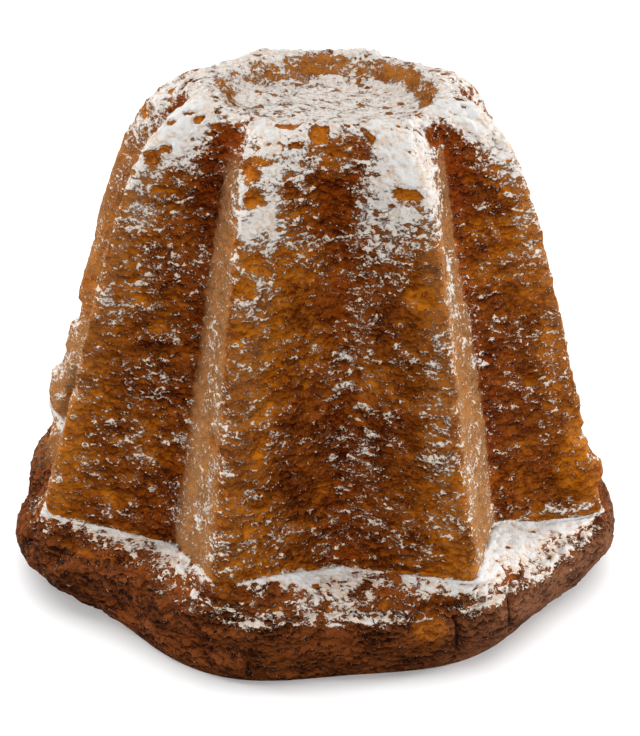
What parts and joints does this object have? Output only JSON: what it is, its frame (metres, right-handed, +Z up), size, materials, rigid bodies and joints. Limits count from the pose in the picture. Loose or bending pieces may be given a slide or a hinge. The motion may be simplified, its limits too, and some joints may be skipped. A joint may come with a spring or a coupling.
{
  "type": "pandoro",
  "caption": "Tall eight-pointed sweet loaf with fluted tapering sides, a shallow round dish in the crown and a thick collar of crust at the foot, dusted with icing sugar.",
  "frame": {"origin": "on the surface that the loaf stands on, under the middle of the star", "axes": "+Z up, from the wide collar to the crown; -Y is the front"},
  "size_m": [0.2344, 0.2368, 0.1845],
  "materials": {
    "crust": "matt, open-pored baked crust"
  },
  "bodies": {
    "root": {"pandoro": "crust"}
  },
  "joints": []
}
